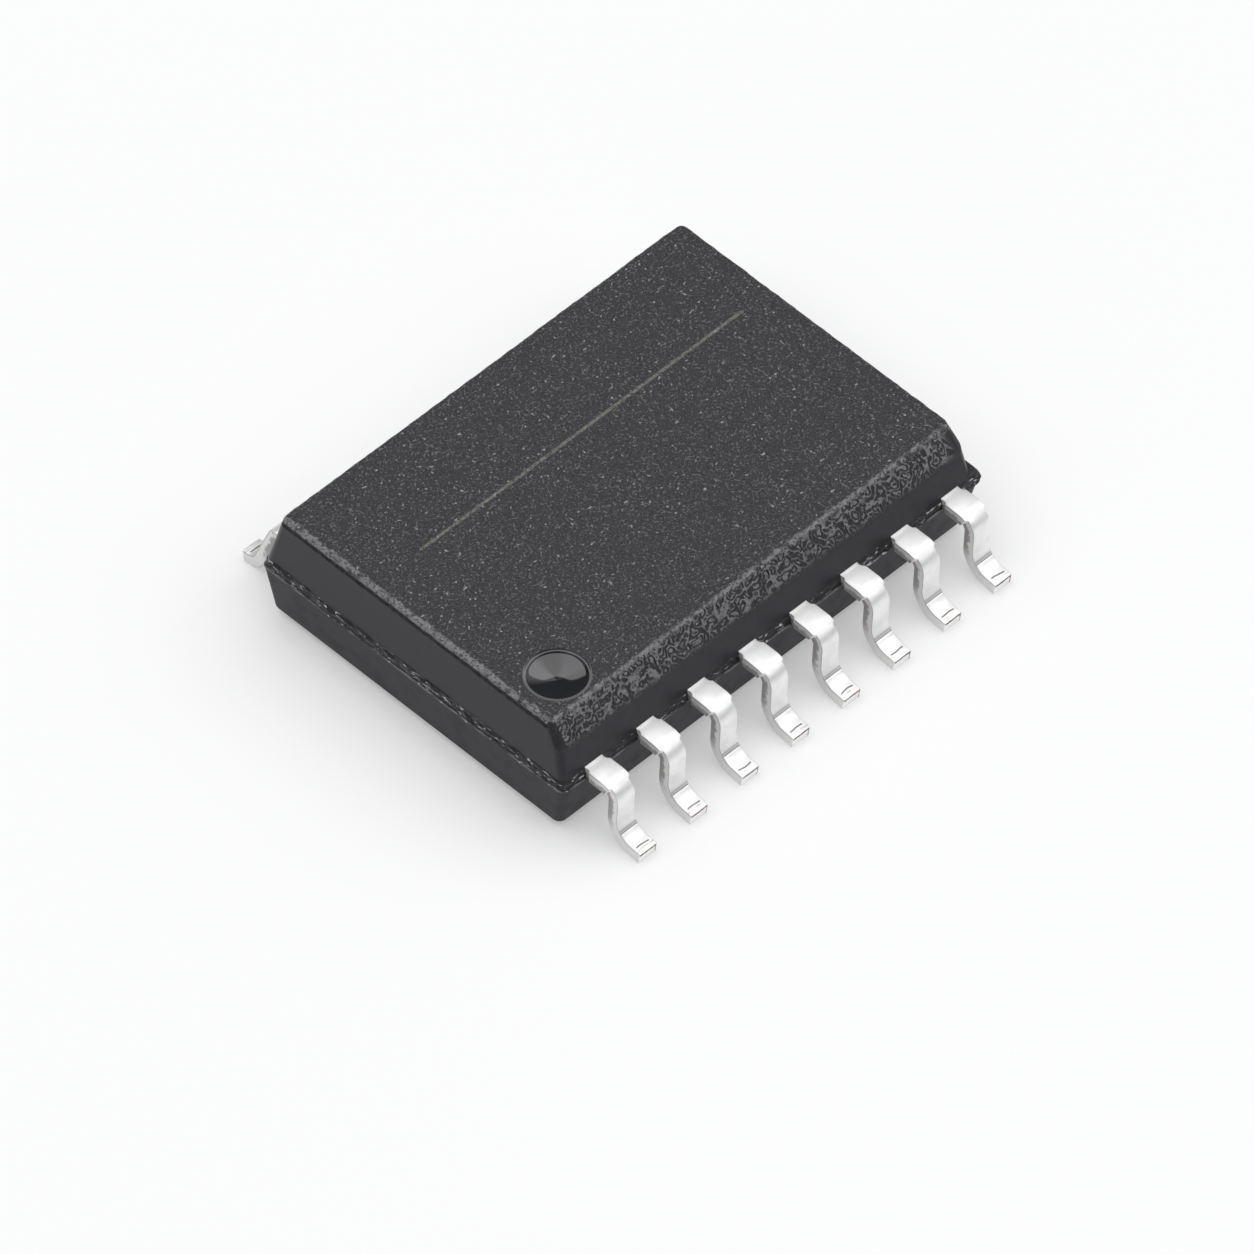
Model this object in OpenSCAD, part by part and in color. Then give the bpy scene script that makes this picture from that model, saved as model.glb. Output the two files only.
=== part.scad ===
// Isolated power module: a wide small-outline moulded body with two rows of gull-wing leads.
// X runs along the lead rows, Y across them and Z up. Z = 0 is the board that the toes stand on,
// and the origin is the middle of the footprint. Lead 1 is at the corner towards -X and -Y,
// and the numbers go on round the body, seen from above against the clock.

/* [Lead rows] */
// Number of leads along each long side
leads_per_row = 8; // [6:1:10]
// Distance between neighbouring leads
lead_pitch = 1.27; // [1.2:0.01:1.5]
// Width of a lead's neck, leg and foot
lead_width = 0.43; // [0.31:0.01:0.51]
// Thickness of the lead frame's sheet
lead_thickness = 0.25; // [0.2:0.01:0.3]
// Height of the lead frame's upper face above the board
lead_top = 1.5; // [1.4:0.05:1.7]
// From the side of a centred body to the outer face of the leg
leg_offset = 0.7; // [0.7:0.005:1.2]
// From the outer face of the leg to the end of the toe
foot_reach = 0.565; // [0.5:0.005:0.8]
// Downward tilt of the foot, in degrees
foot_tilt = 8; // [0:1:10]
// Radius on the inside of the shoulder bend
shoulder_radius = 0.12; // [0.08:0.01:0.2]
// Radius on the inside of the heel bend
heel_radius = 0.37; // [0.2:0.01:0.4]
// How far the cut-off dam bar stands out on each side of a lead
ear_width = 0.05; // [0.02:0.01:0.1]
// From the body's side to the start of the cut-off dam bar
ear_start = 0.16; // [0.1:0.01:0.17]
// How far the cut-off dam bar goes round the shoulder bend, in degrees
ear_sweep = 25; // [10:1:40]

/* [Moulded body] */
// From the last lead's centre line to the end of the body
end_margin = 0.805; // [0.65:0.005:1.2]
// Width of the body at the parting plane
body_width = 7.5; // [7.2:0.05:8.5]
// How far the body sits off the middle of the footprint, away from the lead 1 row
body_shift = 0.15; // [0:0.01:0.15]
// Height of the body's top above the board
body_top = 2.5; // [2.45:0.05:3]
// Gap between the board and the body's underside
standoff = 0.15; // [0.1:0.05:0.3]
// Draft of the lower half's walls, in degrees
lower_draft = 7; // [3:1:12]
// Draft of the upper half's walls, in degrees
upper_draft = 11; // [3:0.5:15]
// How far the upper half is set back from the lower half at the parting plane
upper_inset = 0.06; // [0:0.01:0.1]
// How far the band of flash stands out from the lower half
flash_width = 0.05; // [0.02:0.01:0.1]
// Radius of the upright corners
corner_radius = 0.15; // [0.1:0.01:0.3]
// Width of the bevel along the top edge of the lead 1 side
bevel_width = 0.25; // [0.2:0.01:0.6]
// Drop of that bevel
bevel_drop = 0.5; // [0.3:0.05:0.7]

/* [Lead 1 dimple] */
// Radius of the dimple at the surface
dimple_radius = 0.6; // [0.4:0.05:0.7]
// Radius of its blunt tip
dimple_tip_radius = 0.12; // [0.05:0.01:0.3]
// Depth of the dimple
dimple_depth = 0.14; // [0.05:0.01:0.2]
// From the body's end at the parting plane to the dimple's centre
dimple_from_end = 1.15; // [1:0.01:1.5]
// From the body's side at the parting plane to the dimple's centre
dimple_from_side = 1.2; // [1.2:0.01:1.7]

/* [Lead frame inside] */
// How far a lead's finger reaches into the body
finger_length = 0.7; // [0.6:0.05:0.8]
// Width of the finger's T-shaped head
finger_head_width = 0.75; // [0.6:0.05:0.9]
// Length of that head
finger_head_length = 0.35; // [0.25:0.05:0.4]
// Gap between the finger heads and the paddle
finger_gap = 0.2; // [0.15:0.05:0.3]

/* [Dies] */
// Length of the primary die, along the lead rows
primary_die_length = 3.4; // [2.6:0.1:4]
// Length of the secondary die
secondary_die_length = 3; // [2.6:0.1:4]
// Depth of both dies, across the lead rows
die_depth = 1.05; // [0.9:0.05:1.15]
// Thickness of both dies
die_thickness = 0.25; // [0.15:0.05:0.3]
// From the die to the paddle's outer edge
die_margin = 0.1; // [0.05:0.05:0.15]
// From the die to the transformer laminate
die_gap = 0.15; // [0.1:0.05:0.2]
// From a die's edge to the middle of its bond pads
pad_inset = 0.15; // [0.1:0.05:0.2]

/* [Transformer] */
// Length of the laminate that carries the windings
laminate_length = 4.4; // [3.8:0.1:5.5]
// Thickness of the laminate
laminate_thickness = 0.4; // [0.3:0.05:0.45]
// How far the laminate lies on each paddle
laminate_seat = 0.55; // [0.4:0.05:0.6]
// Length of both ferrite plates
ferrite_length = 3.6; // [2.8:0.1:3.8]
// Thickness of both ferrite plates
ferrite_thickness = 0.3; // [0.2:0.05:0.35]
// Gap between the lower ferrite plate and the paddles
ferrite_gap = 0.15; // [0.1:0.05:0.25]

/* [Bond wires] */
// Thickness of a bond wire
wire_size = 0.05; // [0.03:0.01:0.07]
// Height of a wire's knee above the die
wire_rise = 0.25; // [0.2:0.01:0.3]
// Number of wires between each die and the laminate
coil_wires = 4; // [2:1:5]
// Distance between those wires
coil_wire_pitch = 0.6; // [0.4:0.05:0.6]

/* [Hidden] */
$fn = 32;
// Thin end slabs between which a drafted wall runs
slab = 0.01;

// Rows and levels
lead_count = 2 * leads_per_row;
row_length = (leads_per_row - 1) * lead_pitch;
lead_bottom = lead_top - lead_thickness;
half_width = body_width / 2;
half_length = row_length / 2 + end_margin;

// Outline of the moulded body: half sizes along X and Y
parting_half = [half_length, half_width];
lower_taper = (lead_bottom - standoff) * tan(lower_draft);
upper_taper = (body_top - lead_top) * tan(upper_draft);
bottom_half = [for (h = parting_half) h - lower_taper];
upper_half = [for (h = parting_half) h - upper_inset];
top_half = [for (h = upper_half) h - upper_taper];
flash_half = [for (h = parting_half) h + flash_width];

// Ends of the bevel's slope, across the body and up
bevel_top = [bevel_width - top_half[1], body_top];
bevel_foot = [-top_half[1] - bevel_drop * tan(upper_draft), body_top - bevel_drop];
bevel_step = bevel_top - bevel_foot;

// Side view of a lead: distance from the middle of the footprint, and height
leg_face = half_width + leg_offset;
shoulder_centre = [leg_face - shoulder_radius - lead_thickness, lead_top - shoulder_radius - lead_thickness];
foot_length = (foot_reach - heel_radius * (1 - sin(foot_tilt))) / cos(foot_tilt);
heel_centre = [
    leg_face + heel_radius,
    (lead_thickness + heel_radius) * cos(foot_tilt) + foot_length * sin(foot_tilt)
];
heel_turn = 90 - foot_tilt;

// Plan of the lead frame inside, as distances from the middle of the body
finger_end = half_width - finger_length;
paddle_outer = finger_end - finger_gap;
die_outer = paddle_outer - die_margin;
die_inner = die_outer - die_depth;
laminate_edge = die_inner - die_gap;
paddle_inner = laminate_edge - laminate_seat;

// Levels of the stack above the lead frame
die_top = lead_top + die_thickness;
laminate_top = lead_top + laminate_thickness;

// Bond wires: where they land
finger_pad = finger_end + finger_head_length / 2;
outer_pad = die_outer - pad_inset;
inner_pad = die_inner + pad_inset;
laminate_pad = laminate_edge - laminate_seat / 2;

// The second lead from each end of a row is one piece with that row's paddle
function place_in_row(n) = n > leads_per_row ? n - leads_per_row : n;
function is_tied(n) = place_in_row(n) == 2 || place_in_row(n) == leads_per_row - 1;
function row_x(n) = ((leads_per_row + 1) / 2 - place_in_row(n)) * lead_pitch;
// How far the body stands towards the toes of a lead's own row
function row_shift(n) = n > leads_per_row ? body_shift : -body_shift;

PRIMARY_LEADS = [for (n = [1:leads_per_row]) n];
SECONDARY_LEADS = [for (n = [leads_per_row + 1:lead_count]) n];
FREE_LEADS = [for (n = [1:lead_count]) if (!is_tied(n)) n];

// Colours as seen, and as such pieces usually are inside
resin = [0.2, 0.2, 0.21];
tin = [0.87, 0.87, 0.86];
silicon = [0.32, 0.34, 0.42];
board_green = [0.16, 0.33, 0.2];
ferrite_grey = [0.25, 0.24, 0.24];
gold = [0.88, 0.7, 0.3];

// The near row is the far row turned half round, so each row is drawn pointing to +Y
module near_row() {
    rotate([0, 0, 180]) children();
}

// Where the body, and all that it holds, sits over the footprint
module in_body() {
    translate([0, body_shift, 0]) children();
}

module at_lead(n) {
    turn = n > leads_per_row ? 0 : 180;
    rotate([0, 0, turn]) translate([row_x(n), 0, 0]) children();
}

// Draws in side view: local x goes out along Y, local y goes up along Z
module in_side_view() {
    rotate([90, 0, 90]) children();
}

// A straight length of strip, drawn in side view
module strip(length, width) {
    translate([0, 0, -width / 2]) cube([length, lead_thickness, width]);
}

// A bent length of strip about the local origin, from one angle on through a turn
module bend(radius, from, turn, width) {
    translate([0, 0, -width / 2])
        rotate([0, 0, from])
            rotate_extrude(angle = turn)
                translate([radius, 0]) square([lead_thickness, width]);
}

// The lead outside the body: flat, cut-off dam bar, shoulder, leg, heel and foot
module lead_outside(n) {
    ear_y = half_width + ear_start + row_shift(n);
    full_width = lead_width + 2 * ear_width;
    at_lead(n) in_side_view() {
        translate([ear_y, lead_bottom]) strip(shoulder_centre[0] - ear_y, full_width);
        translate(shoulder_centre) bend(shoulder_radius, 90 - ear_sweep, ear_sweep, full_width);
        translate(shoulder_centre) bend(shoulder_radius, 0, 90 - ear_sweep, lead_width);
        translate([leg_face, heel_centre[1]]) rotate([0, 0, 90])
            strip(shoulder_centre[1] - heel_centre[1], lead_width);
        translate(heel_centre) {
            bend(heel_radius, 180, heel_turn, lead_width);
            rotate([0, 0, -foot_tilt]) translate([0, -heel_radius - lead_thickness])
                strip(foot_length, lead_width);
        }
    }
}

// A flat piece of the lead frame's sheet, from one distance to another
module sheet(from, to, width) {
    translate([-width / 2, from, lead_bottom]) cube([width, to - from, lead_thickness]);
}

// The flat inner end of a free lead, with the head that anchors it in the resin
module finger() {
    sheet(finger_end + finger_head_length, half_width + ear_start, lead_width);
    sheet(finger_end, finger_end + finger_head_length, finger_head_width);
}

// The flat inner end of a lead that is one piece with the paddle
module tie() {
    sheet(paddle_outer, half_width + ear_start, lead_width);
}

module paddle() {
    sheet(paddle_inner, paddle_outer, row_length);
}

module lead(n) {
    color(tin) {
        in_body() at_lead(n) finger();
        lead_outside(n);
    }
}

module frame_inside(leads) {
    for (n = leads) if (is_tied(n)) in_body() at_lead(n) tie();
}

module frame_outside(leads) {
    for (n = leads) if (is_tied(n)) lead_outside(n);
}

module primary_frame() {
    color(tin) {
        in_body() near_row() paddle();
        frame_inside(PRIMARY_LEADS);
        frame_outside(PRIMARY_LEADS);
    }
}

module secondary_frame() {
    color(tin) {
        in_body() paddle();
        frame_inside(SECONDARY_LEADS);
        frame_outside(SECONDARY_LEADS);
    }
}

module die(length) {
    translate([-length / 2, die_inner, lead_top]) cube([length, die_depth, die_thickness]);
}

module primary_die() {
    color(silicon) in_body() near_row() die(primary_die_length);
}

module secondary_die() {
    color(silicon) in_body() die(secondary_die_length);
}

// A flat plate about the middle of the body, from one level up
module plate(length, half_depth, level, thickness) {
    translate([-length / 2, -half_depth, level]) cube([length, 2 * half_depth, thickness]);
}

module transformer_laminate() {
    color(board_green) in_body() plate(laminate_length, laminate_edge, lead_top, laminate_thickness);
}

module upper_ferrite() {
    color(ferrite_grey) in_body() plate(ferrite_length, paddle_inner, laminate_top, ferrite_thickness);
}

module lower_ferrite() {
    color(ferrite_grey) in_body()
        plate(ferrite_length, paddle_inner - ferrite_gap, lead_top - ferrite_thickness, ferrite_thickness);
}

// One bond wire between two points: straight up to a knee, then a straight run down to the far end
module wire(from, to) {
    run = to - from;
    span = norm([run[0], run[1]]);
    half = wire_size / 2;
    fall = run[2];
    translate(from) rotate([0, 0, atan2(run[1], run[0])]) rotate([90, 0, 0])
        linear_extrude(wire_size, center = true)
            polygon([
                [-half, 0],
                [-half, wire_rise],
                [half, wire_rise],
                [span + wire_size, fall],
                [span - wire_size, fall],
                [half, wire_rise - wire_size],
                [half, 0]
            ]);
}

// Wires from a die's outer pads to the fingers of the free leads in its row
module lead_wires(leads, die_length) {
    spread = (die_length - 2 * pad_inset) / row_length;
    for (n = leads)
        if (!is_tied(n))
            wire([row_x(n) * spread, outer_pad, die_top], [row_x(n), finger_pad, lead_top]);
}

// Wires from a die's inner pads to the laminate
module coil_row() {
    for (i = [1:coil_wires]) {
        x = (i - (coil_wires + 1) / 2) * coil_wire_pitch;
        wire([x, inner_pad, die_top], [x, laminate_pad, laminate_top]);
    }
}

module primary_bond_wires() {
    color(gold) in_body() near_row() lead_wires(PRIMARY_LEADS, primary_die_length);
}

module secondary_bond_wires() {
    color(gold) in_body() lead_wires(SECONDARY_LEADS, secondary_die_length);
}

module coil_bond_wires() {
    color(gold) in_body() {
        coil_row();
        near_row() coil_row();
    }
}

// A thin slab with round corners, from which a drafted wall starts or at which it ends
module rounded_slab(half, level) {
    for (x = [-1, 1], y = [-1, 1])
        translate([x * (half[0] - corner_radius), y * (half[1] - corner_radius), level])
            cylinder(h = slab, r = corner_radius);
}

// A block whose walls lean from one half size to another
module drafted_block(low, high, from, to) {
    hull() {
        rounded_slab(low, from);
        rounded_slab(high, to - slab);
    }
}

// What the bevel takes off the top edge of the lead 1 side, all along the body
module bevel_cut() {
    above = bevel_top + bevel_step;
    below = bevel_foot - bevel_step;
    translate([-flash_half[0], 0, 0]) in_side_view()
        linear_extrude(2 * flash_half[0])
            polygon([above, below, [below[0], above[1]]]);
}

module dimple() {
    translate([dimple_from_end - half_length, dimple_from_side - half_width, body_top - dimple_depth])
        cylinder(h = dimple_depth, r1 = dimple_tip_radius, r2 = dimple_radius);
}

module resin_block() {
    drafted_block(bottom_half, parting_half, standoff, lead_bottom);
    translate([-flash_half[0], -flash_half[1], lead_bottom])
        cube([2 * flash_half[0], 2 * flash_half[1], lead_thickness]);
    difference() {
        drafted_block(upper_half, top_half, lead_top, body_top);
        bevel_cut();
        dimple();
    }
}

// Everything that the resin was moulded round
module moulded_in() {
    in_body() {
        for (n = FREE_LEADS) at_lead(n) finger();
        near_row() paddle();
        paddle();
    }
    frame_inside(PRIMARY_LEADS);
    frame_inside(SECONDARY_LEADS);
    primary_die();
    secondary_die();
    transformer_laminate();
    upper_ferrite();
    lower_ferrite();
    primary_bond_wires();
    secondary_bond_wires();
    coil_bond_wires();
}

module moulded_body() {
    color(resin) difference() {
        in_body() resin_block();
        moulded_in();
    }
}

moulded_body();
primary_frame();
secondary_frame();
for (n = FREE_LEADS)
    lead(n);
primary_die();
secondary_die();
transformer_laminate();
upper_ferrite();
lower_ferrite();
primary_bond_wires();
secondary_bond_wires();
coil_bond_wires();
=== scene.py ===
import math
from types import SimpleNamespace

import bmesh
import bpy
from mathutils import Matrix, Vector, noise


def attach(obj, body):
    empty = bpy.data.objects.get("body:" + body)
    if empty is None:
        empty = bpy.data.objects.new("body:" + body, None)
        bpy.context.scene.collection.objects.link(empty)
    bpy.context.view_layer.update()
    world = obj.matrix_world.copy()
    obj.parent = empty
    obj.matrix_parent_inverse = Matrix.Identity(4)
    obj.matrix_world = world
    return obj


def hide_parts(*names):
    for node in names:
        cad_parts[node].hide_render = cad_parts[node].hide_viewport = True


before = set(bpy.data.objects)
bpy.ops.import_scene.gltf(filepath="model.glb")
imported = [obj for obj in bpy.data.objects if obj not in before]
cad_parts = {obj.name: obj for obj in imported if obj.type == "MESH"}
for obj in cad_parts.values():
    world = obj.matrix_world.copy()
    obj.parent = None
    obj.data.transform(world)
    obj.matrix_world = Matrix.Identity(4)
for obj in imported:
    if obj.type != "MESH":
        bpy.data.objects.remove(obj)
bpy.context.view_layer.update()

# Stamped leads
# Sixteen gull-wing leads of copper sheet. They are blanked with small ears where the tie bar is cut away,
# plated with matte tin, bent once the body is moulded round them, and cropped at the toe last of all.
MM = 0.001
LEAD_PITCH = 1.27 * MM
LEADS_PER_ROW = 8
ROW_MIDDLE = (LEADS_PER_ROW + 1) / 2
SHEET = 0.25 * MM
SHEET_TOP = 1.5 * MM
NECK_HALF = 0.215 * MM
EAR_HALF = 0.265 * MM
LEG_HALF = 0.21 * MM
HEAD_HALF = 0.375 * MM
BODY_SHIFT = 0.15 * MM
HEAD_START = 3.05 * MM
HEAD_END = 3.4 * MM
BODY_SIDE = 3.7 * MM
OUTSIDE_REACH = BODY_SIDE - 1.1 * BODY_SHIFT
ROOT_GROOVES = (3.83 * MM, 3.86 * MM)
GROOVE_HALF = 0.01 * MM
GROOVE_DEPTH = 0.01 * MM
FLARE_START = 3.875 * MM
FLARE_END = 3.945 * MM
FLARE_STEPS = 6
TOE_REACH = 5.015 * MM
EAR_TURN = math.radians(25)
EAR_FALL = math.radians(10)
FOOT_TILT = math.radians(8)
EAR_STEPS = 5
FALL_STEPS = 2
LEG_TURN_STEPS = 11
HEEL_STEPS = 34
RUN_STEPS = 4
CREASE_TURN = math.radians(40)
CREASE_HALF = math.radians(4)
CREASE_DEPTH = 0.012 * MM
HEEL_SKIN = 0.02
STAMPED_ROUND = 0.018 * MM
SHARP_EDGE = math.radians(65)
SMOOTH_LIMIT = math.radians(35)
SIDEWAYS = 0.75
ENDWAYS = 0.9
SHEARED_FACES = 1
CROPPED_FACES = 2
SAME_POINT = 1e-9


def lead_place(number):
    """Where a lead stands along its row, and its row: -1 is the near one, 1 the far one."""
    if number <= LEADS_PER_ROW:
        return (number - ROW_MIDDLE) * LEAD_PITCH, -1
    return (LEADS_PER_ROW + ROW_MIDDLE - number) * LEAD_PITCH, 1


def lead_bends(overbend, shoulder_radius, heel_radius, foot_length):
    """Where the two bends of a row lie. Overbend is how far the leg leans in towards the body."""
    radii = shoulder_radius + heel_radius
    shoulder_z = SHEET_TOP - shoulder_radius
    heel_y = TOE_REACH + heel_radius * math.sin(FOOT_TILT) - foot_length * math.cos(FOOT_TILT)
    heel_z = (SHEET + heel_radius) * math.cos(FOOT_TILT) + foot_length * math.sin(FOOT_TILT)
    leg_length = (shoulder_z - heel_z) / math.cos(overbend) - radii * math.tan(overbend)
    return SimpleNamespace(
        overbend=overbend,
        heel_radius=heel_radius,
        foot_length=foot_length,
        heel_y=heel_y,
        heel_z=heel_z,
        leg_length=leg_length,
        shoulder_z=shoulder_z,
        shoulder_y=heel_y + leg_length * math.sin(overbend) - radii * math.cos(overbend),
    )


near_bends = lead_bends(
    overbend=math.radians(3), shoulder_radius=0.37 * MM, heel_radius=0.37 * MM, foot_length=0.249 * MM
)
far_bends = lead_bends(
    overbend=math.radians(-22), shoulder_radius=0.3 * MM, heel_radius=0.2 * MM, foot_length=0.16 * MM
)


def row_bends(side):
    """The bends of the row on one side."""
    return near_bends if side < 0 else far_bends


def row_reach(side, body_reach):
    """How far a place on the body lies from the middle of the footprint, on one side of it."""
    return body_reach + side * BODY_SHIFT


def sheet_blank(x_low, x_high, side, reach_low, reach_high):
    """A flat blank of the sheet. Each point keeps whether it is on the sheet's upper face."""
    bm = bmesh.new()
    upper_face = bm.verts.layers.float.new("upper_face")
    corners = bmesh.ops.create_cube(bm, size=1)["verts"]
    for corner in corners:
        corner[upper_face] = 1.0 if corner.co.z > 0 else 0.0
    size = (x_high - x_low, reach_high - reach_low, SHEET)
    middle_reach = row_reach(side, (reach_low + reach_high) / 2)
    bmesh.ops.scale(bm, vec=size, verts=corners)
    bmesh.ops.translate(
        bm, vec=((x_low + x_high) / 2, side * middle_reach, SHEET_TOP - SHEET / 2), verts=corners
    )
    return bm


def cut_across(bm, geometry, x):
    """Cuts some of a mesh along a plane across the row."""
    bmesh.ops.bisect_plane(bm, geom=geometry, dist=SAME_POINT, plane_co=(x, 0, 0), plane_no=(1, 0, 0))


def neck_face(bm, x, side):
    """Cuts the blank's outer edge to the width of a neck at x, and gives the narrow face there."""
    for edge in (x - NECK_HALF, x + NECK_HALF):
        cut_across(bm, bm.verts[:] + bm.edges[:] + bm.faces[:], edge)
    near_x = [f for f in bm.faces if abs(f.calc_center_median().x - x) < NECK_HALF / 4]
    return max(near_x, key=lambda f: side * f.calc_center_median().y)


def end_face(geometry):
    """The one face that an extrusion or a spin ends in."""
    return next(part for part in geometry if isinstance(part, bmesh.types.BMFace))


def carry_on(bm, face):
    """Extrudes one end face, with no face left behind inside the sheet."""
    return end_face(bmesh.ops.extrude_face_region(bm, geom=[face, *face.edges])["geom"])


def draw_out(bm, face, x, side, body_reach, half, dent=0.0):
    """Draws the sheet straight out to a reach, with its half width and the dent in its top there."""
    face = carry_on(bm, face)
    for corner in face.verts:
        corner.co.y = side * row_reach(side, body_reach)
        corner.co.x = x + math.copysign(half, corner.co.x - x)
        corner.co.z = SHEET_TOP - dent if corner.co.z > SHEET_TOP - SHEET / 2 else SHEET_TOP - SHEET
    return face


def bend_round(bm, face, x, centre, angle, steps, half):
    """Bends the sheet about a line along the row. The last ring takes the half width."""
    swept = bmesh.ops.spin(
        bm, geom=[face, *face.edges, *face.verts], cent=centre, axis=(1, 0, 0), angle=angle, steps=steps
    )
    face = end_face(swept["geom_last"])
    for corner in face.verts:
        corner.co.x = x + math.copysign(half, corner.co.x - x)
    return face


def run_on(bm, face, offset):
    """Carries the sheet straight on by an offset."""
    for _ in range(RUN_STEPS):
        face = carry_on(bm, face)
        bmesh.ops.translate(bm, vec=offset / RUN_STEPS, verts=face.verts[:])
    return face


def form_lead(bm, face, x, side):
    """Forms the outer part of a lead from its neck: ears, shoulder, leg, heel and foot."""
    face = draw_out(bm, face, x, side, BODY_SIDE, NECK_HALF)
    for groove in ROOT_GROOVES:
        face = draw_out(bm, face, x, side, groove - GROOVE_HALF, NECK_HALF)
        face = draw_out(bm, face, x, side, groove, NECK_HALF, GROOVE_DEPTH)
        face = draw_out(bm, face, x, side, groove + GROOVE_HALF, NECK_HALF)
    bends = row_bends(side)
    shoulder_reach = bends.shoulder_y - side * BODY_SHIFT
    flare_end = min(FLARE_END, shoulder_reach - GROOVE_HALF)
    for step in range(FLARE_STEPS + 1):
        share = step / FLARE_STEPS
        half = NECK_HALF + (EAR_HALF - NECK_HALF) * share ** 2
        face = draw_out(bm, face, x, side, FLARE_START + share * (flare_end - FLARE_START), half)
    face = draw_out(bm, face, x, side, shoulder_reach, EAR_HALF)
    shoulder = (0, side * bends.shoulder_y, bends.shoulder_z)
    leg_turn = math.radians(90) + bends.overbend - EAR_TURN - EAR_FALL
    face = bend_round(bm, face, x, shoulder, -side * EAR_TURN, EAR_STEPS, EAR_HALF)
    face = bend_round(bm, face, x, shoulder, -side * EAR_FALL, FALL_STEPS, LEG_HALF)
    face = bend_round(bm, face, x, shoulder, -side * leg_turn, LEG_TURN_STEPS, LEG_HALF)
    leg = Vector((0, -side * math.sin(bends.overbend), -math.cos(bends.overbend))) * bends.leg_length
    face = run_on(bm, face, leg)
    heel = (0, side * bends.heel_y, bends.heel_z)
    heel_turn = math.radians(90) + bends.overbend - FOOT_TILT
    face = bend_round(bm, face, x, heel, side * heel_turn, HEEL_STEPS, LEG_HALF)
    foot = Vector((0, side * math.cos(FOOT_TILT), -math.sin(FOOT_TILT))) * bends.foot_length
    run_on(bm, face, foot)


def press_crease(bm):
    """Presses the thin crease into the inside of each heel, where the forming tool bears."""
    for vert in bm.verts:
        side = math.copysign(1, vert.co.y)
        bends = row_bends(side)
        arm = Vector((0, vert.co.y - side * bends.heel_y, vert.co.z - bends.heel_z))
        if abs(arm.length - bends.heel_radius) > HEEL_SKIN * bends.heel_radius:
            continue
        turn = math.atan2(-arm.z, -side * arm.y)
        share = max(0.0, 1 - abs(turn - CREASE_TURN) / CREASE_HALF)
        vert.co += arm.normalized() * CREASE_DEPTH * share


def round_stamped_edges(bm):
    """Takes the sharpness off the long edges outside the body."""
    sharp = []
    for edge in bm.edges:
        outside = min(abs(v.co.y) for v in edge.verts) > OUTSIDE_REACH
        if outside and edge.calc_face_angle(0) > SHARP_EDGE:
            sharp.append(edge)
    bmesh.ops.bevel(
        bm, geom=sharp, offset=STAMPED_ROUND, affect="EDGES", segments=3, profile=0.5, material=-1
    )


def new_piece(bm, name, finishes):
    """Makes a piece of a finished mesh, with its finishes and with its shading evened out."""
    mesh = bpy.data.meshes.new(name)
    bm.to_mesh(mesh)
    bm.free()
    for finish in finishes:
        mesh.materials.append(finish)
    piece = bpy.data.objects.new(name, mesh)
    bpy.context.scene.collection.objects.link(piece)
    even = piece.modifiers.new("even_shading", "WEIGHTED_NORMAL")
    even.keep_sharp = True
    return piece


def finish_stamping(bm, name, finishes):
    """Turns a formed stamping into a piece: plated faces, sheared edges and a cropped toe."""
    press_crease(bm)
    round_stamped_edges(bm)
    bmesh.ops.recalc_face_normals(bm, faces=bm.faces[:])
    toe_reach = TOE_REACH - near_bends.foot_length / 2
    for face in bm.faces:
        face.smooth = True
        if abs(face.normal.x) > SIDEWAYS:
            face.material_index = SHEARED_FACES
        elif abs(face.normal.y) > ENDWAYS and abs(face.calc_center_median().y) > toe_reach:
            face.material_index = CROPPED_FACES
    piece = new_piece(bm, name, finishes)
    piece.data.set_sharp_from_angle(angle=SMOOTH_LIMIT)
    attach(piece, "root")
    return piece


def add_node(tree, kind, inputs=None, **settings):
    """Puts one node into a tree. Inputs are values, or sockets to link from."""
    made = tree.nodes.new(kind)
    for option, value in settings.items():
        setattr(made, option, value)
    for socket, value in (inputs or {}).items():
        if isinstance(value, bpy.types.NodeSocket):
            tree.links.new(value, made.inputs[socket])
        else:
            made.inputs[socket].default_value = value
    return made


def combine(tree, operation, first, second=0.0):
    """One sum on two values or sockets, or on the first alone."""
    return add_node(tree, "ShaderNodeMath", {0: first, 1: second}, operation=operation).outputs[0]


def times(tree, first, second):
    """The product of two values or sockets."""
    return combine(tree, "MULTIPLY", first, second)


def soft_step(tree, value, start, end):
    """0 at start, 1 at end and smooth between."""
    limits = {"Value": value, "From Min": start, "From Max": end}
    return add_node(tree, "ShaderNodeMapRange", limits, interpolation_type="SMOOTHSTEP").outputs["Result"]


def clouds(tree, where, scale, detail):
    """Cloudy noise of a scale, which may be a socket."""
    inputs = {"Vector": where, "Scale": scale, "Detail": detail}
    return add_node(tree, "ShaderNodeTexNoise", inputs).outputs["Fac"]


def grain(tree, where, size, detail=2.0):
    """Cloudy noise with features of about a size, in metres."""
    return clouds(tree, where, 1 / size, detail)


def sway(tree, share, width):
    """Goes from half a width below zero to half a width above it as share goes from 0 to 1."""
    return times(tree, combine(tree, "SUBTRACT", share, 0.5), width)


def blend_colour(tree, share, first, second):
    """Goes from one colour to another as share goes from 0 to 1."""
    mix = add_node(tree, "ShaderNodeMix", {0: share, 6: first, 7: second}, data_type="RGBA")
    return mix.outputs[2]


def split(tree, where):
    """The three coordinates of a place, by name."""
    return add_node(tree, "ShaderNodeSeparateXYZ", {0: where}).outputs


def new_finish(name):
    """A new material, with its tree, its shader and the place on the part that it reads."""
    finish = bpy.data.materials.new(name)
    finish.use_nodes = True
    tree = finish.node_tree
    shader = tree.nodes["Principled BSDF"]
    where = add_node(tree, "ShaderNodeTexCoord").outputs["Object"]
    return finish, tree, shader, where


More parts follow.
